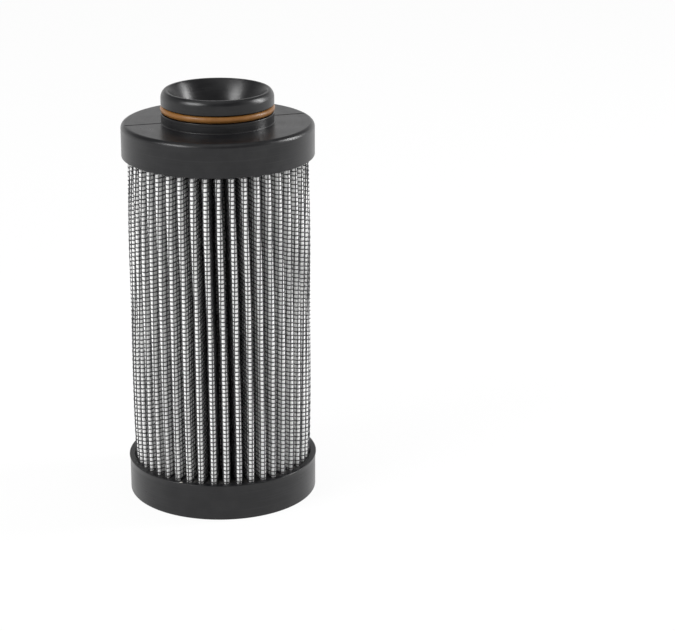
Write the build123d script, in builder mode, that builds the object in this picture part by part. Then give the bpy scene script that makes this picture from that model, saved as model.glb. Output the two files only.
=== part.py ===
"""Pleated hydraulic filter element: moulded end caps, a pack of pleated mesh and media, and a core tube.

Frame: +Z up along the element's axis, origin at the centre of the bottom cap's flat base, millimetres.
Oil passes inward through the pleats, into the core tube, and leaves through the sealed neck at the top.
"""

import os
from math import acos, asin, degrees

from build123d import *

os.makedirs("parts", exist_ok=True)

# ---- end caps ----------------------------------------------------------------------------------------
cap_radius = 31.0  # outside of both caps' skirts
skirt_wall = 1.7
cap_edge_round = 1.6  # shoulder of the top cap
base_edge_break = 0.5  # foot of the bottom cap

base_rim_height = 12.0  # bottom cap, foot to rim
base_floor = 3.0
base_lip = 0.3  # how far the bottom cap's rim swells past its skirt
base_lip_height = 2.2
rim_edge_break = 0.35

top_skirt_bottom = 114.4  # lower edge of the top cap's skirt
top_skirt_height = 10.7
top_plate = 2.6

# ---- neck --------------------------------------------------------------------------------------------
neck_radius = 18.1
collar_height = 3.2  # top plate to the seal groove
groove_width = 2.9
head_height = 4.3  # seal groove to the rim
head_round_height = 2.4  # convex part of the head, up to the rim
head_inset = 1.2  # how far the head's convex side draws in
rim_land = 0.9  # flat top of the head, round the funnel's wide end
throat_radius = 11.5
funnel_depth = 8.6
funnel_swell = 0.5  # bow of the funnel's wall
mouth_edge_break = 0.35

# ---- neck seal ---------------------------------------------------------------------------------------
seal_section = 2.62
seal_sides = 12  # the round section is drawn with this many sides, to keep the ring light
seal_proud = 0.2  # how far the ring stands out of the neck
groove_clearance = 0.05  # between the ring and the bottom of its groove

# ---- pleat pack --------------------------------------------------------------------------------------
pleat_to_skirt = 0.3  # pleat tips to the inside of the skirt
pleat_tip_radius = 1.25  # outside of the outer mesh at a tip
pleat_valley_radius = 0.2  # outside of the outer mesh at the bottom of a valley
pleat_twist = 1.4  # angle of the first pleat, degrees from -Y
mesh_sheet = 0.35  # a woven wire cloth, as thick as its crossing wires
media_thickness = 0.4
layer_gap = 0.02
outer_tip_sides = 4  # straight sides that a tip's curve is drawn with
hidden_tip_sides = 2

# ---- core tube and potting ---------------------------------------------------------------------------
core_wall = 1.4
core_to_pack = 0.2
window_width = 13.0
window_rib = 5.0  # between two windows in height
windows_round = 4
window_rows = 6
spigot_clearance = 0.15
spigot_wall = 3.6
spigot_length = 4.5
boss_height = 3.0
boss_wall = 2.5
base_potting_depth = 6.0  # from the bottom cap's floor up to the pleats
pleat_engagement = 3.0  # how far the pleats reach up inside the top cap's skirt
seat_gap = 0.05

# ---- places that follow from those sizes -------------------------------------------------------------
plate_top = top_skirt_bottom + top_skirt_height
plate_bottom = plate_top - top_plate
groove_bottom_z = plate_top + collar_height
groove_top_z = groove_bottom_z + groove_width
rim_z = groove_top_z + head_height
rim_outer_radius = neck_radius - head_inset
mouth_radius = rim_outer_radius - rim_land
seal_outer_radius = neck_radius + seal_proud
groove_radius = seal_outer_radius - seal_section - groove_clearance
skirt_inner_radius = cap_radius - skirt_wall

pack_radius = skirt_inner_radius - pleat_to_skirt
pack_bottom = base_floor + base_potting_depth
pack_top = top_skirt_bottom + pleat_engagement
media_depth = mesh_sheet + layer_gap  # depths are below the outside of the outer mesh
inner_mesh_depth = media_depth + media_thickness + layer_gap
pack_thickness = inner_mesh_depth + mesh_sheet
tip_centre_radius = pack_radius - pleat_tip_radius

core_inner_radius = throat_radius + spigot_wall + spigot_clearance
core_outer_radius = core_inner_radius + core_wall
fold_radius = pleat_valley_radius + pack_thickness  # inside of the inner mesh at a fold
fold_centre_radius = core_outer_radius + core_to_pack + fold_radius
pleat_count = int(180 / degrees(asin(fold_radius / fold_centre_radius)))  # as the core tube has room for
boss_radius = core_inner_radius - spigot_clearance
window_pitch = (pack_top - pack_bottom) / window_rows
pack_plane = Plane.XY.offset(pack_bottom).rotated((0, 0, pleat_twist - 90))


def polar(radius, angle):
    """A point in the sketch plane, by radius and angle in degrees."""
    return Vector(radius, 0).rotate(Axis.Z, angle)


def circles_at(part, radius, height):
    """The part's circular edges of one radius at one height."""
    return part.edges().filter_by(GeomType.CIRCLE).filter_by(
        lambda edge: abs(edge.radius - radius) < 0.001 and abs(edge.arc_center.Z - height) < 0.001
    )


def pleat_outline(depth, tip_sides):
    """One closed surface of the pleat pack, at a depth below the outside of its outer mesh.

    Each pleat is a tip, a straight wall, a fold and the next wall. The walls are common tangents of the
    tip circle and the fold circle, whose radii have the same sum at every depth, so that all the outlines
    are parallel. The tip's curve is drawn with the given number of straight sides.
    """
    pitch = 360 / pleat_count
    tip_radius = pleat_tip_radius - depth
    valley_radius = pleat_valley_radius + depth
    tip_centre = polar(tip_centre_radius, 0)
    fold_centre = polar(fold_centre_radius, pitch / 2)
    inward = fold_centre - tip_centre
    lean = degrees(acos((tip_radius + valley_radius) / inward.length))
    across = inward.normalized().rotate(Axis.Z, -lean)
    wall_top = tip_centre + across * tip_radius
    wall_foot = fold_centre - across * valley_radius
    next_foot = Vector(wall_foot.X, -wall_foot.Y).rotate(Axis.Z, pitch)
    fold = polar(fold_centre_radius - valley_radius, pitch / 2)
    half_turn = across.get_angle(Vector(1, 0))
    side_turn = 2 * half_turn / tip_sides
    tip = [tip_centre + polar(tip_radius, side * side_turn - half_turn) for side in range(tip_sides + 1)]
    pleat = [*tip, wall_foot, fold, next_foot]
    points = [point.rotate(Axis.Z, index * pitch) for index in range(pleat_count) for point in pleat]
    with BuildLine(mode=Mode.PRIVATE) as outline:
        Polyline(*points, close=True)
    return outline.edges()


# ---- top end cap: skirt, plate, a spigot inside the core tube, and the neck with its seal groove and funnel 
with BuildPart() as top_end_cap:
    with BuildSketch(Plane.XZ):
        with BuildLine():
            Polyline(
                (throat_radius, rim_z - funnel_depth),
                (throat_radius, plate_bottom - spigot_length),
                (boss_radius, plate_bottom - spigot_length),
                (boss_radius, plate_bottom),
                (skirt_inner_radius, plate_bottom),
                (skirt_inner_radius, top_skirt_bottom),
                (cap_radius, top_skirt_bottom),
                (cap_radius, plate_top),
                (neck_radius, plate_top),
                (neck_radius, groove_bottom_z),
                (groove_radius, groove_bottom_z),
                (groove_radius, groove_top_z),
                (neck_radius, groove_top_z),
                (neck_radius, rim_z - head_round_height),
            )
            TangentArc((neck_radius, rim_z - head_round_height), (rim_outer_radius, rim_z), tangent=(0, 1))
            Line((rim_outer_radius, rim_z), (mouth_radius, rim_z))
            SagittaArc((mouth_radius, rim_z), (throat_radius, rim_z - funnel_depth), funnel_swell)
        make_face()
    revolve(axis=Axis.Z)
    fillet(circles_at(top_end_cap, cap_radius, plate_top), cap_edge_round)
    chamfer(circles_at(top_end_cap, mouth_radius, rim_z), mouth_edge_break)

top_end_cap.part.label = "top_end_cap"
export_step(top_end_cap.part, "parts/top_end_cap.step")


# ---- neck seal: an O-ring in the neck's groove -------------------------------------------------------
with BuildPart() as neck_seal:
    with BuildSketch(Plane.XZ):
        with Locations((seal_outer_radius - seal_section / 2, groove_bottom_z + groove_width / 2)):
            RegularPolygon(seal_section / 2, seal_sides)
    revolve(axis=Axis.Z)

neck_seal.part.label = "neck_seal"
export_step(neck_seal.part, "parts/neck_seal.step")


# ---- bottom end cap: a closed cup with a swollen rim, and a ring that centres the core tube ----------
lip_bottom = base_rim_height - base_lip_height

with BuildPart() as bottom_end_cap:
    with BuildSketch(Plane.XZ):
        with BuildLine():
            Polyline(
                (cap_radius, lip_bottom),
                (cap_radius, 0),
                (0, 0),
                (0, base_floor),
                (boss_radius - boss_wall, base_floor),
                (boss_radius - boss_wall, base_floor + boss_height),
                (boss_radius, base_floor + boss_height),
                (boss_radius, base_floor),
                (skirt_inner_radius, base_floor),
                (skirt_inner_radius, base_rim_height),
                (cap_radius + base_lip, base_rim_height),
            )
            TangentArc((cap_radius, lip_bottom), (cap_radius + base_lip, base_rim_height), tangent=(0, 1))
        make_face()
    revolve(axis=Axis.Z)
    chamfer(circles_at(bottom_end_cap, cap_radius, 0), base_edge_break)
    chamfer(circles_at(bottom_end_cap, cap_radius + base_lip, base_rim_height), rim_edge_break)

bottom_end_cap.part.label = "bottom_end_cap"
export_step(bottom_end_cap.part, "parts/bottom_end_cap.step")


# ---- core tube: a moulded cage that holds the pleats out, with staggered rows of windows -------------
tube_bottom = base_floor + seat_gap
tube_top = plate_bottom - seat_gap

with BuildPart() as core_tube:
    with BuildSketch(Plane.XY.offset(tube_bottom)):
        Circle(core_outer_radius)
        Circle(core_inner_radius, mode=Mode.SUBTRACT)
    extrude(amount=tube_top - tube_bottom)
    for row in range(window_rows):
        stagger = 180 / windows_round * (row % 2)
        with Locations((0, 0, pack_bottom + (row + 0.5) * window_pitch)):
            with PolarLocations(core_outer_radius, windows_round, start_angle=stagger):
                Box(core_outer_radius, window_width, window_pitch - window_rib, mode=Mode.SUBTRACT)

core_tube.part.label = "core_tube"
export_step(core_tube.part, "parts/core_tube.step")


# ---- potting: rings of set adhesive that bond the pack and the core tube into both caps --------------
for name, low, high in (
    ("top_potting", pack_top, plate_bottom),
    ("bottom_potting", base_floor, pack_bottom),
):
    with BuildPart() as potting:
        with BuildSketch(Plane.XY.offset(low + seat_gap)):
            Circle(skirt_inner_radius - seat_gap)
            Circle(core_outer_radius + seat_gap, mode=Mode.SUBTRACT)
        extrude(amount=high - low - 2 * seat_gap)

    potting.part.label = name
    export_step(potting.part, f"parts/{name}.step")


# ---- pleat pack: outer mesh, filter media and inner mesh, folded together ----------------------------
for name, depth, thickness, tip_sides in (
    ("outer_mesh", 0, mesh_sheet, outer_tip_sides),
    ("filter_media", media_depth, media_thickness, hidden_tip_sides),
    ("inner_mesh", inner_mesh_depth, mesh_sheet, hidden_tip_sides),
):
    outside = pleat_outline(depth, tip_sides)
    inside = pleat_outline(depth + thickness, hidden_tip_sides)
    with BuildPart() as layer:
        with BuildSketch(pack_plane):
            make_face(outside)
            make_face(inside, mode=Mode.SUBTRACT)
        extrude(amount=pack_top - pack_bottom)

    layer.part.label = name
    export_step(layer.part, f"parts/{name}.step")
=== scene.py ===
import cmath
from math import acos, cos, pi, radians, sin, tau

import bmesh
import bpy
from mathutils import Matrix, Vector, noise


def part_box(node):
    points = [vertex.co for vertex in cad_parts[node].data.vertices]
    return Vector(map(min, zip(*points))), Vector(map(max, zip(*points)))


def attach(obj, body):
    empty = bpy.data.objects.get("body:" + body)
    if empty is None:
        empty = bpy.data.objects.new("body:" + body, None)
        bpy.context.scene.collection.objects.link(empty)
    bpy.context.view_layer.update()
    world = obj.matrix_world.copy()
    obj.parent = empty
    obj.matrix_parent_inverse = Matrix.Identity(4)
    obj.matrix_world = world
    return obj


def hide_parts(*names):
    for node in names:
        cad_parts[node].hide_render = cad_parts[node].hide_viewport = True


# A pleated hydraulic filter element: moulded caps, a folded pack of fleece in woven wire cloth, and a neck
# with a seal ring and a funnel.

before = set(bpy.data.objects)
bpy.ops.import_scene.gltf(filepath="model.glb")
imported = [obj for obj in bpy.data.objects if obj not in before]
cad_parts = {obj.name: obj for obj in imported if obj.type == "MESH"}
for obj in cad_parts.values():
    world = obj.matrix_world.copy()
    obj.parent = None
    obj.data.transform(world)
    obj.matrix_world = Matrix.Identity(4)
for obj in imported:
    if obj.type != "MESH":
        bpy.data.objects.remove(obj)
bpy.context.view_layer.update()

# ---- sizes, in metres ----------------------------------------------------------------------------
MM = 0.001

pack_low, pack_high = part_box("outer_mesh")
top_low, top_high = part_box("top_end_cap")
seal_low, seal_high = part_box("neck_seal")
tube_low, tube_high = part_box("core_tube")

cap_radius = (top_high.x - top_low.x) / 2
base_rim_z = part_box("bottom_end_cap")[1].z
skirt_wall = 1.7 * MM
skirt_bore = cap_radius - skirt_wall

seal_radius = (seal_high.x - seal_low.x) / 2
seal_section = 2.2 * MM  # stretched a little thinner than the CAD ring
seal_proud = 0.2 * MM  # how far the ring stands out of the neck
seal_lift = 0.12 * MM  # of the ring above the lower side of its groove
groove_height = 2.55 * MM
groove_below_middle = 1.45 * MM  # from the CAD ring's middle to the lower side of the groove
groove_clearance = 0.05 * MM  # between the ring and the bottom of its groove

neck_radius = seal_radius - seal_proud
groove_low = (seal_low.z + seal_high.z) / 2 - groove_below_middle
groove_high = groove_low + groove_height
groove_radius = seal_radius - seal_section - groove_clearance
seal_z = groove_low + seal_lift + seal_section / 2
collar_height = 3.2 * MM
plate_top = groove_low - collar_height
shoulder_round = 1.6 * MM
spigot_length = 4.5 * MM
spigot_inset = 1.55 * MM  # the core tube's wall and a clearance
head_curve = 3.0 * MM  # radius of the head's convex side
head_curve_height = 2.4 * MM
head_curve_sweep = 53.13  # degrees; it ends level with the rim of the mouth
mouth_radius = 16.0 * MM
throat_radius = 11.5 * MM
funnel_depth = 8.6 * MM
funnel_swell = 0.5 * MM  # how far the funnel's wall bows towards the axis
edge_round = 0.22 * MM
base_lip = 0.3 * MM  # how far the bottom cap's rim swells past its skirt
base_lip_height = 2.2 * MM
base_lip_bend = 1.0 * MM  # above the lip's foot, where it starts to swell faster
base_lip_share = 0.35  # of the swelling, at that bend
base_edge_round = 0.35 * MM
seat_gap = 0.05 * MM  # between pieces that sit in each other
ring_steps = 180  # sides of a turned piece
bead_steps = 420  # sides of the bead of adhesive, which needs more for its uneven skin
sharp = radians(40)  # an edge that turns more than this counts as sharp

# ---- sizes of the folded pack --------------------------------------------------------------------
pleat_count = 42
pleat_angle = tau / pleat_count
pack_radius = 29.0 * MM
tip_radius = 1.25 * MM
valley_radius = 0.2 * MM
tip_centre = pack_radius - tip_radius
fold_centre = 18.19 * MM  # circle that the folds' centres stand on
first_pleat = radians(1.27 - 90)  # its tip stands this far round from the front
pack_lean = radians(1.4)  # the tips lean this far over half the pack's height
pack_bend = radians(0.66)  # and both ends turn this much the same way besides
pack_crowding = radians(1.2)  # the pleats stand a little closer together in front
pack_waver = radians(0.5)
waver_round = 5  # how quickly the waver changes round the pack
waver_up = 18  # and with height
pack_belly = 0.6 * MM  # how far the pleats stand out half way up

warps_per_pleat = 15
woven_warps = 4  # on each side of a tip; the others, deep in the folds, don't weave
plain_warp_steps = 6  # straight lengths in a warp that doesn't weave
weft_pitch = 1.41 * MM
weft_rows = 75
weft_sag = 0.16 * MM
sag_round = 160  # how quickly the sag changes round the pack
sag_up = 0.35  # and from row to row
cloth_low = pack_low.z + 0.3 * MM  # height of the lowest weft
wire_radius = 0.16 * MM
wire_depth = 0.27 * MM  # of the cloth's middle, below the outside of the pack
weave_depth = 0.09 * MM
fleece_depth = 0.40 * MM
fleece_thickness = 0.32 * MM
backing_depth = 0.76 * MM  # the inner cloth, behind the fleece
backing_thickness = 0.28 * MM
sheet_rows = 27
sheet_gap = 0.01 * MM  # at the foot and the head of a sheet
cloth_slip = 38  # warps that pass over a fold for each radian that the pack twists


# ---- shader maths --------------------------------------------------------------------------------
class Wire:
    """An output socket in a shader tree. Arithmetic on it adds Math nodes."""

    def __init__(self, tree, socket):
        self.tree = tree
        self.socket = socket

    def math(self, operation, *values):
        return add_node(self.tree, "ShaderNodeMath", {"operation": operation}, dict(enumerate(values)))

    def __add__(self, other):
        return self.math("ADD", self, other)

    __radd__ = __add__

    def __sub__(self, other):
        return self.math("SUBTRACT", self, other)

    def __rsub__(self, other):
        return self.math("SUBTRACT", other, self)

    def __mul__(self, other):
        return self.math("MULTIPLY", self, other)

    __rmul__ = __mul__

    def __truediv__(self, other):
        return self.math("DIVIDE", self, other)

    def __pow__(self, other):
        return self.math("POWER", self, other)

    def __abs__(self):
        return self.math("ABSOLUTE", self)

    def __gt__(self, other):
        return self.math("GREATER_THAN", self, other)

    def sine(self):
        return self.math("SINE", self)

    def angle_from(self, other):
        return self.math("ARCTAN2", self, other)

    def ramp(self, low, high):
        """0 below low and 1 above high, smooth between them."""
        return add_node(
            self.tree,
            "ShaderNodeMapRange",
            {"interpolation_type": "SMOOTHSTEP"},
            {"Value": self, "From Min": low, "From Max": high},
        )


def add_node(tree, kind, settings, values, output=0):
    """A new node of that kind, its settings and its inputs set or linked, as the Wire of one output."""
    node = tree.nodes.new(kind)
    for name, setting in settings.items():
        setattr(node, name, setting)
    for name, value in values.items():
        if isinstance(value, Wire):
            tree.links.new(value.socket, node.inputs[name])
        else:
            node.inputs[name].default_value = value
    return Wire(tree, node.outputs[output])


class Finish:
    """A material in the making, measured in millimetres on the object's own coordinates.

    The colour given here is the plain one, for where the nodes aren't shown.
    """

    def __init__(self, name, color, **constants):
        self.material = bpy.data.materials.new(name)
        self.material.use_nodes = True
        self.material.diffuse_color = (*color, 1)
        self.tree = self.material.node_tree
        self.shader = self.tree.nodes["Principled BSDF"]
        for socket, value in constants.items():
            self.set(socket.replace("_", " "), value)
        place = self.node("ShaderNodeTexCoord", output="Object")
        self.point = self.node("ShaderNodeVectorMath", {"operation": "SCALE"}, {0: place, "Scale": 1 / MM})
        self.x, self.y, self.z = (
            self.node("ShaderNodeSeparateXYZ", values={0: self.point}, output=axis) for axis in "XYZ"
        )
        self.radius = (self.x * self.x + self.y * self.y) ** 0.5

    def node(self, kind, settings=None, values=None, output=0):
        return add_node(self.tree, kind, settings or {}, values or {}, output)

    def set(self, socket, value):
        if isinstance(value, Wire):
            self.tree.links.new(value.socket, self.shader.inputs[socket])
        else:
            self.shader.inputs[socket].default_value = value

    def vector(self, x, y, z):
        return self.node("ShaderNodeCombineXYZ", values={"X": x, "Y": y, "Z": z})

    def noise(self, vector, scale, detail=2.0):
        return self.node("ShaderNodeTexNoise", values={"Vector": vector, "Scale": scale, "Detail": detail})

    def mix(self, factor, first, second):
        """A mix of two colours. A Mix node keeps its colours in inputs 6 and 7 and in output 2."""
        colors = [value if isinstance(value, Wire) else (*value, 1) for value in (first, second)]
        return self.node(
            "ShaderNodeMix", {"data_type": "RGBA"}, {0: factor, 6: colors[0], 7: colors[1]}, output=2
        )

    def bump(self, height):
        """Height in millimetres."""
        relief = {"Height": height, "Distance": MM, "Strength": 1.0}
        self.set("Normal", self.node("ShaderNodeBump", values=relief))


def moulded_nylon():
    """Black glass-filled nylon: semi-matte, with faint streaks and a mould line over the plate."""
    finish = Finish("moulded nylon", (0.008, 0.008, 0.009), Specular_IOR_Level=0.4)
    around = finish.y.angle_from(finish.x)
    streaks = finish.noise(finish.vector(finish.radius * 2.4, finish.z * 2.4, around * 1.4), 1.0, 3.0)
    clouds = finish.noise(finish.point, 0.16, 3.0)
    grain = finish.noise(finish.point, 5.0, 2.0)
    color = finish.mix(clouds.ramp(0.35, 0.7), (0.005, 0.005, 0.006), (0.01, 0.01, 0.011))
    color = finish.mix(streaks.ramp(0.5, 0.8) * 0.5, color, (0.02, 0.02, 0.021))
    line_turn = radians(14)
    from_line = abs(finish.y * cos(line_turn) - finish.x * sin(line_turn) - 2.2)
    on_plate = (finish.radius > neck_radius / MM) * (1 - finish.radius.ramp(29.0, 30.2))
    on_plate = on_plate * (finish.z > plate_top / MM - 1.2)
    line = on_plate * (1 - from_line.ramp(0.2, 0.5))
    finish.set("Base Color", finish.mix(line, color, (0.001, 0.001, 0.001)))
    finish.set("Roughness", 0.19 + 0.14 * clouds + 0.1 * streaks + 0.5 * line)
    finish.bump(grain * 0.01 + streaks * 0.04 - line * 0.25)
    return finish.material


def amber_rubber():
    """Smooth amber-brown rubber with a faint haze."""
    finish = Finish("amber rubber", (0.22, 0.095, 0.023), Specular_IOR_Level=0.3)
    haze = finish.noise(finish.point, 0.5, 3.0)
    finish.set("Base Color", finish.mix(haze.ramp(0.3, 0.7), (0.2, 0.086, 0.02), (0.235, 0.105, 0.027)))
    finish.set("Roughness", 0.28 + 0.15 * haze)
    finish.bump(finish.noise(finish.point, 3.0) * 0.006)
    return finish.material


def coated_wire():
    """Dark coated steel wire, worn to grey here and there."""
    finish = Finish("coated wire", (0.03, 0.03, 0.034))
    wear = finish.noise(finish.point, 0.9, 3.0)
    finish.set("Base Color", finish.mix(wear.ramp(0.45, 0.75), (0.04, 0.04, 0.043), (0.115, 0.115, 0.12)))
    finish.set("Roughness", 0.35 + 0.25 * wear)
    finish.bump(finish.noise(finish.point, 4.0) * 0.02)
    return finish.material


def white_fleece():
    """White glass-fibre fleece, a pillow in each cell of the wire cloth; painted shade darkens cell edges
    and folds.
    """
    finish = Finish("white fleece", (0.86, 0.86, 0.85))
    warp = finish.node("ShaderNodeAttribute", {"attribute_name": "path"}, output="Fac")
    weft = (finish.z - cloth_low / MM) / (weft_pitch / MM)
    across_cell = abs(((warp + 0.5) * pi).sine())
    up_cell = abs((weft * pi).sine())
    pillow = (across_cell * up_cell) ** 0.5
    fibres = finish.noise(finish.point, 2.2, 4.0)
    stain = finish.noise(finish.point, 0.08, 3.0)
    color = finish.mix(stain.ramp(0.3, 0.7), (0.93, 0.93, 0.92), (0.87, 0.87, 0.865))
    # Painted shade: grey at the edges of each cell, next to the wires, where the fleece would lie in
    # shade.
    color = finish.mix((1 - pillow) ** 2 * 0.5, color, (0.5, 0.5, 0.51))
    # Painted shade: the fleece turns dark towards the bottoms of the folds, where the valleys fall into
    # shade.
    depth = 1 - finish.radius.ramp(18.0, 25.8)
    finish.set("Base Color", finish.mix(depth * 0.58, color, (0.14, 0.14, 0.145)))
    finish.set("Roughness", 0.78 + 0.15 * fibres)
    finish.bump(pillow * 0.22 + fibres * 0.05)
    return finish.material


def set_adhesive():
    """Dark set adhesive with a dull, uneven skin."""
    finish = Finish("set adhesive", (0.02, 0.02, 0.021))
    skin = finish.noise(finish.point, 0.7, 4.0)
    finish.set("Base Color", finish.mix(skin.ramp(0.4, 0.8), (0.012, 0.012, 0.013), (0.05, 0.048, 0.045)))
    finish.set("Roughness", 0.3 + 0.4 * skin)
    finish.bump(skin * 0.25)
    return finish.material


def dried_glue():
    """A pale dried drop of glue."""
    finish = Finish("dried glue", (0.62, 0.6, 0.55), Roughness=0.4)
    clouds = finish.noise(finish.point, 2.0)
    finish.set("Base Color", finish.mix(clouds, (0.5, 0.48, 0.43), (0.75, 0.73, 0.69)))
    finish.bump(clouds * 0.05)
    return finish.material


# ---- making pieces -------------------------------------------------------------------------------
def add_piece(name, mesh, material, nodes=()):
    """Puts a finished mesh in the scene as a piece of the element that stands for those CAD nodes."""
    mesh.name = name
    mesh.materials.clear()
    mesh.materials.append(material)
    mesh.shade_smooth()
    piece = bpy.data.objects.new(name, mesh)
    bpy.context.scene.collection.objects.link(piece)
    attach(piece, "root")
    if nodes:
        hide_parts(*nodes)
    return piece


def mesh_of(shape, name):
    """The mesh of a bmesh, which is freed."""
    mesh = bpy.data.meshes.new(name)
    shape.to_mesh(mesh)
    shape.free()
    return mesh


def arc(centre, radius, start, end, steps):
    """Points of an arc in the profile plane, as (radius, height), by angles in degrees."""
    for step in range(steps + 1):
        angle = radians(start + (end - start) * step / steps)
        yield centre[0] + radius * cos(angle), centre[1] + radius * sin(angle)


def bowed(start, end, swell, steps):
    """Points of a shallow curve between two profile points, which bows by that much towards the axis."""
    for step in range(steps + 1):
        share = step / steps
        bow = swell * 4 * share * (1 - share)
        yield start[0] + (end[0] - start[0]) * share - bow, start[1] + (end[1] - start[1]) * share


def turned(profile, steps=ring_steps, closed=True):
    """A bmesh turned round the axis from a profile of (radius, height) points."""
    shape = bmesh.new()
    verts = [shape.verts.new((radius, 0, height)) for radius, height in profile]
    edges = [shape.edges.new(pair) for pair in zip(verts, verts[1:])]
    if closed:
        edges.append(shape.edges.new((verts[-1], verts[0])))
    bmesh.ops.spin(
        shape, geom=verts + edges, axis=(0, 0, 1), cent=(0, 0, 0), angle=tau, steps=steps, use_merge=True
    )
    bmesh.ops.remove_doubles(shape, verts=shape.verts, dist=0.001 * MM)
    bmesh.ops.recalc_face_normals(shape, faces=shape.faces)
    return shape


def ring_edges(shape, wanted=lambda radius, height: True):
    """The sharp edges that run round the axis, where wanted(radius, height) holds."""
    found = []
    for edge in shape.edges:
        first, second = edge.verts
        level = abs(first.co.z - second.co.z) < 0.01 * MM
        reach = first.co.xy.length
        round_axis = abs(reach - second.co.xy.length) < 0.01 * MM and reach > 0
        if level and round_axis and edge.calc_face_angle(0) > sharp and wanted(reach, first.co.z):
            found.append(edge)
    return found


def round_over(shape, edges, radius, segments):
    bmesh.ops.bevel(
        shape, geom=edges, offset=radius, segments=segments, profile=0.5, affect="EDGES", material=-1
    )


def even_shading(piece):
    """Keeps flat faces flat in shading beside their rounded edges."""
    modifier = piece.modifiers.new("even shading", "WEIGHTED_NORMAL")
    modifier.keep_sharp = True


def make_top_cap(material):
    """Skirt, shoulder, plate, collar, seal groove, convex head and funnel, all of one moulding."""
    rim_z = top_high.z
    plate_bottom = tube_high.z + seat_gap
    spigot_radius = (tube_high.x - tube_low.x) / 2 - spigot_inset
    spigot_bottom = plate_bottom - spigot_length
    profile = [
        (throat_radius, spigot_bottom),
        (spigot_radius, spigot_bottom),
        (spigot_radius, plate_bottom),
        (skirt_bore, plate_bottom),
        (skirt_bore, top_low.z),
        (cap_radius, top_low.z),
        (cap_radius, plate_top),
        (neck_radius, plate_top),
        (neck_radius, groove_low),
        (groove_radius, groove_low),
        (groove_radius, groove_high),
        (neck_radius, groove_high),
        *arc((neck_radius - head_curve, rim_z - head_curve_height), head_curve, 0, head_curve_sweep, 6),
        *bowed((mouth_radius, rim_z), (throat_radius, rim_z - funnel_depth), funnel_swell, 8),
    ]
    shape = turned(profile)
    shoulder_low = plate_top - 0.1 * MM
    at_shoulder = ring_edges(shape, lambda radius, height: radius > skirt_bore and height > shoulder_low)
    round_over(shape, at_shoulder, shoulder_round, 8)
    round_over(shape, ring_edges(shape), edge_round, 3)
    cap = add_piece("top_cap", mesh_of(shape, "top_cap"), material, ["top_end_cap"])
    even_shading(cap)


def make_bottom_cap(material):
    """Closed cup with a slightly swollen rim."""
    lip_low = base_rim_z - base_lip_height
    floor_z = tube_low.z - seat_gap
    profile = [
        (0, 0),
        (cap_radius, 0),
        (cap_radius, lip_low),
        (cap_radius + base_lip * base_lip_share, lip_low + base_lip_bend),
        (cap_radius + base_lip, base_rim_z),
        (skirt_bore, base_rim_z),
        (skirt_bore, floor_z),
        (0, floor_z),
    ]
    shape = turned(profile, closed=False)
    round_over(shape, ring_edges(shape), base_edge_round, 4)
    mesh = mesh_of(shape, "bottom_cap")
    cap = add_piece("bottom_cap", mesh, material, ["bottom_end_cap"])
    even_shading(cap)


def make_seal(material):
    """O-ring in its groove, a little proud of the neck."""
    half = seal_section / 2
    shape = turned(list(arc((seal_radius - half, seal_z), half, 0, 345, 23)))
    add_piece("seal_ring", mesh_of(shape, "seal_ring"), material, ["neck_seal"])


class Pleat:
    """One pleat of a sheet that lies at a depth below the outside of the pack, seen along the axis.

    Plan places are complex numbers. The wall is the common tangent of the circles of the tip and the fold.
    """

    def __init__(self, depth):
        self.tip = tip_radius - depth
        self.valley = valley_radius + depth
        self.fold_place = cmath.rect(fold_centre, pleat_angle / 2)
        inward = self.fold_place - tip_centre
        lean = acos((self.tip + self.valley) / abs(inward))
        self.across = inward / abs(inward) * cmath.rect(1, -lean)
        self.turn = cmath.phase(self.across)
        self.wall_start = tip_centre + self.across * self.tip
        self.wall = self.fold_place - self.across * self.valley - self.wall_start
        self.tip_end = self.tip * self.turn
        self.wall_end = self.tip_end + abs(self.wall)
        self.half = self.wall_end + self.valley * (self.turn - pleat_angle / 2)

    def at(self, length):
        """(place, outward normal) at that length along the sheet from the middle of the tip."""
        reach = abs(length)
        if reach <= self.tip_end:
            normal = cmath.rect(1, reach / self.tip)
            place = tip_centre + normal * self.tip
        elif reach <= self.wall_end:
            normal = self.across
            place = self.wall_start + self.wall * (reach - self.tip_end) / abs(self.wall)
        else:
            normal = cmath.rect(1, self.turn - (reach - self.wall_end) / self.valley)
            place = self.fold_place - normal * self.valley
        return (place, normal) if length >= 0 else (place.conjugate(), normal.conjugate())


def rise_of(height):
    """-1 at the foot of the pack, 0 half way and 1 at its top."""
    return (height - (pack_low.z + pack_high.z) / 2) / ((pack_high.z - pack_low.z) / 2)


def twist_of(height):
    """How far the pleats have turned at that height."""
    rise = rise_of(height)
    return pack_lean * rise + pack_bend * rise**2


def drape(place, height):
    """Where a plan place stands at that height, with the lean, bend, belly and waver of folded cloth."""
    direction = place / abs(place)
    rise = rise_of(height)
    waver_spot = Vector((direction.real * waver_round, direction.imag * waver_round, height * waver_up))
    waver = noise.noise(waver_spot)
    belly = 1 + pack_belly / pack_radius * (1 - rise**4) * (abs(place) / pack_radius) ** 2
    turn = first_pleat - twist_of(height) - pack_crowding * direction.imag + pack_waver * waver
    stood = place * belly * cmath.rect(1, turn)
    return stood.real, stood.imag, height


def wires(name, runs, closed, material):
    """A piece of many wires, each a run of points."""
    curve = bpy.data.curves.new(name, "CURVE")
    curve.dimensions = "3D"
    curve.bevel_depth = wire_radius
    curve.bevel_resolution = 0
    curve.use_fill_caps = not closed
    for run in runs:
        spline = curve.splines.new("POLY")
        spline.points.add(len(run) - 1)
        spline.points.foreach_set("co", [value for point in run for value in (*point, 1)])
        spline.use_cyclic_u = closed
    holder = bpy.data.objects.new(name, curve)
    mesh = bpy.data.meshes.new_from_object(holder)
    bpy.data.objects.remove(holder)
    bpy.data.curves.remove(curve)
    return add_piece(name, mesh, material, ["outer_mesh"])


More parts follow.
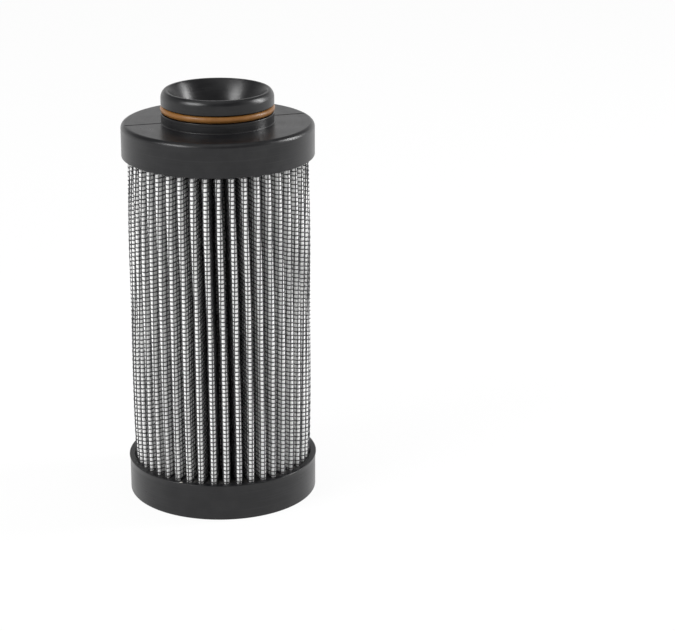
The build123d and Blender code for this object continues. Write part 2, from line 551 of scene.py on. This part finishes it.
def make_wire_cloth(material):
    """Plain-woven cloth over the pleats: warp wires up and down, weft wires round the folds."""
    cloth = Pleat(wire_depth)
    span = 2 * cloth.half
    pitch = span / warps_per_pleat
    tip_lengths = [cloth.tip_end * step / 3 for step in range(4)]
    wall_lengths = [cloth.tip_end + pitch / 2 * step for step in range(1, 5)]
    deep_lengths = [cloth.wall_end, (cloth.wall_end + cloth.half) / 2]
    half_pleat = tip_lengths + wall_lengths + deep_lengths
    lengths = [-length for length in half_pleat[:0:-1]] + half_pleat + [cloth.half]

    runs = []
    for row in range(weft_rows):
        height = cloth_low + row * weft_pitch
        slip = cloth_slip * twist_of(height)
        run = []
        for index in range(pleat_count):
            for length in lengths:
                place, normal = cloth.at(length)
                sway = weave_depth * cos(pi * (length / pitch - slip + 0.5 + index + row))
                spot = (place + normal * sway) * cmath.rect(1, index * pleat_angle)
                sag_spot = Vector((spot.real * sag_round, spot.imag * sag_round, row * sag_up))
                run.append(drape(spot, height + weft_sag * noise.noise(sag_spot)))
        runs.append(run)
    third = weft_rows // 3
    for part in range(3):
        wires(f"cloth_weft_{part + 1}", runs[part * third:(part + 1) * third], True, material)

    all_rows = range(weft_rows)
    few_rows = [round((weft_rows - 1) * step / plain_warp_steps) for step in range(plain_warp_steps + 1)]
    warps = []
    for index in range(pleat_count):
        for number in range(warps_per_pleat):
            rest = number + 0.5 - (warps_per_pleat - 1) / 2
            shown = abs(rest) < woven_warps
            warp = []
            for row in all_rows if shown else few_rows:
                height = cloth_low + row * weft_pitch
                along = (rest + cloth_slip * twist_of(height)) * pitch
                passed = round(along / span)
                place, normal = cloth.at(along - passed * span)
                sway = -weave_depth * cos(pi * (number + index + row)) if shown else 0
                spot = (place + normal * sway) * cmath.rect(1, (index + passed) * pleat_angle)
                warp.append(drape(spot, height))
            warps.append(warp)
    half = len(warps) // 2
    wires("cloth_warp_1", warps[:half], False, material)
    wires("cloth_warp_2", warps[half:], False, material)


def make_sheet(name, depth, thickness, material, node):
    """A folded sheet of the pack, with a path attribute that counts the warps of the cloth along it."""
    sheet = Pleat(depth)
    tip_lengths = [sheet.tip_end * step / 4 for step in range(5)]
    wall_lengths = [sheet.tip_end + (sheet.wall_end - sheet.tip_end) * step / 4 for step in range(1, 5)]
    half_pleat = tip_lengths + wall_lengths + [(sheet.wall_end + sheet.half) / 2]
    lengths = [-length for length in half_pleat[:0:-1]] + half_pleat + [sheet.half]
    shape = bmesh.new()
    path = shape.verts.layers.float.new("path")
    verts = []
    for index in range(pleat_count):
        for length in lengths:
            spot = sheet.at(length)[0] * cmath.rect(1, index * pleat_angle)
            vert = shape.verts.new((spot.real, spot.imag, pack_low.z + sheet_gap))
            vert[path] = warps_per_pleat * (index + length / 2 / sheet.half)
            verts.append(vert)
    edges = [shape.edges.new(pair) for pair in zip(verts, verts[1:] + verts[:1])]
    rise = (pack_high.z - pack_low.z - 2 * sheet_gap) / sheet_rows
    for _ in range(sheet_rows):
        grown = bmesh.ops.extrude_edge_only(shape, edges=edges)["geom"]
        edges = [item for item in grown if isinstance(item, bmesh.types.BMEdge)]
        bmesh.ops.translate(
            shape, vec=(0, 0, rise), verts=[item for item in grown if isinstance(item, bmesh.types.BMVert)]
        )
    sample = max(shape.faces, key=lambda face: face.calc_center_median().xy.length)
    if sample.normal.dot(sample.calc_center_median()) < 0:
        bmesh.ops.reverse_faces(shape, faces=shape.faces)
    for vert in shape.verts:
        vert[path] -= cloth_slip * twist_of(vert.co.z)
        vert.co = drape(complex(vert.co.x, vert.co.y), vert.co.z)
    piece = add_piece(name, mesh_of(shape, name), material, [node])
    wall = piece.modifiers.new("wall", "SOLIDIFY")
    wall.thickness = thickness
    wall.offset = -1


def make_potting_edge(material):
    """The uneven bead of adhesive that has crept up the feet of the pleats."""
    low = pack_low.z + seat_gap
    skin_low = base_rim_z - 0.9 * MM
    top = base_rim_z + 0.1 * MM
    inside = 17.2 * MM
    outside = skirt_bore - 0.02 * MM
    profile = [
        (inside, low),
        (outside, low),
        (outside, skin_low),
        (skirt_bore - 0.25 * MM, base_rim_z - 0.7 * MM),
        (skirt_bore - 0.8 * MM, base_rim_z - 0.6 * MM),
        (27.6 * MM, base_rim_z - 0.3 * MM),
        (26.0 * MM, top),
        (inside, top),
    ]
    shape = turned(profile, steps=bead_steps)
    for vert in shape.verts:
        if vert.co.z > skin_low - 0.05 * MM:
            spot = vert.co.normalized() * 26
            vert.co.z += 0.4 * MM * noise.noise(spot * 0.9) + 0.3 * MM * noise.noise(spot * 3.1)
    add_piece("potting_bead", mesh_of(shape, "potting_bead"), material)


def make_glue_drop(material):
    """A small pale drop on the bottom cap's rim."""
    place = (-13.7 * MM, -27.4 * MM, base_rim_z)
    shape = bmesh.new()
    bmesh.ops.create_icosphere(shape, subdivisions=3, radius=0.3 * MM)
    bmesh.ops.scale(shape, vec=(1.8, 0.7, 0.5), verts=shape.verts)
    for vert in shape.verts:
        vert.co *= 1 + 0.25 * noise.noise(vert.co * 2500)
    bmesh.ops.translate(shape, vec=place, verts=shape.verts)
    add_piece("glue_drop", mesh_of(shape, "glue_drop"), material)


# ---- the element ---------------------------------------------------------------------------------
nylon = moulded_nylon()
adhesive = set_adhesive()
wire_coat = coated_wire()

make_top_cap(nylon)
make_bottom_cap(nylon)
make_seal(amber_rubber())
make_wire_cloth(wire_coat)
make_sheet("fleece", fleece_depth, fleece_thickness, white_fleece(), "filter_media")
make_sheet("backing_cloth", backing_depth, backing_thickness, wire_coat, "inner_mesh")
make_potting_edge(adhesive)
make_glue_drop(dried_glue())

for node, material in {
    "core_tube": nylon,
    "top_potting": adhesive,
    "bottom_potting": adhesive,
}.items():
    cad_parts[node].material_slots[0].material = material


# ---- stage, light and camera ---------------------------------------------------------------------
floor_gap = 0.02 * MM  # below the base, so that the two don't share a face
floor_white = 0.92  # how much of the floor is plain white to the camera
light_aim = Vector((0, 0, 0.07))
camera_place = (0, -0.6704, 0.2878)
camera_lens = 114.65  # millimetres, on a sensor 36 wide
camera_yaw = radians(-3.28)
camera_pitch = radians(90 - 18.825)
camera_roll = radians(0.14)


def white_for_camera(tree):
    """1 for the rays that should see plain white: from the camera, and in gloss or glass."""
    paths = [
        add_node(tree, "ShaderNodeLightPath", {}, {}, output=name)
        for name in ("Is Camera Ray", "Is Glossy Ray", "Is Transmission Ray")
    ]
    seen = paths[0].math("MAXIMUM", paths[0], paths[1])
    return seen.math("MAXIMUM", seen, paths[2])


def make_floor():
    """A pale matt floor that the camera sees as nearly plain white."""
    shape = bmesh.new()
    bmesh.ops.create_grid(shape, x_segments=1, y_segments=1, size=6)
    bmesh.ops.translate(shape, vec=(0, 0, -floor_gap), verts=shape.verts)
    floor = bpy.data.objects.new("floor", mesh_of(shape, "floor"))
    bpy.context.scene.collection.objects.link(floor)
    material = bpy.data.materials.new("floor")
    material.use_nodes = True
    tree = material.node_tree
    tree.nodes.clear()
    output = tree.nodes.new("ShaderNodeOutputMaterial")
    matt = add_node(tree, "ShaderNodeBsdfDiffuse", {}, {"Color": (0.85, 0.85, 0.85, 1)})
    bright = add_node(tree, "ShaderNodeEmission", {}, {"Color": (1, 1, 1, 1), "Strength": 1.0})
    share = white_for_camera(tree) * floor_white
    surface = add_node(tree, "ShaderNodeMixShader", {}, {0: share, 1: matt, 2: bright})
    tree.links.new(surface.socket, output.inputs["Surface"])
    floor.data.materials.append(material)


def make_world():
    """A white room: dimmer as light than as it looks, and dark overhead where gloss mirrors it."""
    world = bpy.data.worlds.new("studio")
    bpy.context.scene.world = world
    world.use_nodes = True
    tree = world.node_tree
    background = tree.nodes["Background"]
    background.inputs["Color"].default_value = (1, 1, 1, 1)
    direction = add_node(tree, "ShaderNodeTexCoord", {}, {}, output="Generated")
    height = add_node(tree, "ShaderNodeSeparateXYZ", {}, {0: direction}, output="Z")
    in_gloss = add_node(tree, "ShaderNodeLightPath", {}, {}, output="Is Glossy Ray")
    strength = 0.6 + 0.4 * white_for_camera(tree) - 0.8 * in_gloss * height.ramp(0.08, 0.55)
    tree.links.new(strength.socket, background.inputs["Strength"])


def soft_light(name, place, width, height, power):
    """A rectangular soft light that faces the middle of the element."""
    light = bpy.data.lights.new(name, "AREA")
    light.shape = "RECTANGLE"
    light.size = width
    light.size_y = height
    light.energy = power
    lamp = bpy.data.objects.new(name, light)
    lamp.location = place
    lamp.rotation_euler = (light_aim - lamp.location).to_track_quat("-Z", "Y").to_euler()
    bpy.context.scene.collection.objects.link(lamp)


def make_camera():
    camera = bpy.data.objects.new("camera", bpy.data.cameras.new("camera"))
    camera.data.lens = camera_lens
    camera.data.sensor_width = 36
    camera.location = camera_place
    facing = Matrix.Rotation(camera_yaw, 3, "Z") @ Matrix.Rotation(camera_pitch, 3, "X")
    camera.rotation_euler = (facing @ Matrix.Rotation(camera_roll, 3, "Z")).to_euler()
    bpy.context.scene.collection.objects.link(camera)
    bpy.context.scene.camera = camera


make_floor()
make_world()
soft_light("top light", (-0.1, -0.1, 1.0), 0.9, 0.9, 1.5)
soft_light("left light", (-0.7, -0.46, 0.72), 0.5, 0.34, 6.9)
soft_light("right light", (0.8, 0.13, 0.44), 0.2, 0.46, 5.7)
make_camera()
bpy.context.scene.view_settings.view_transform = "Standard"
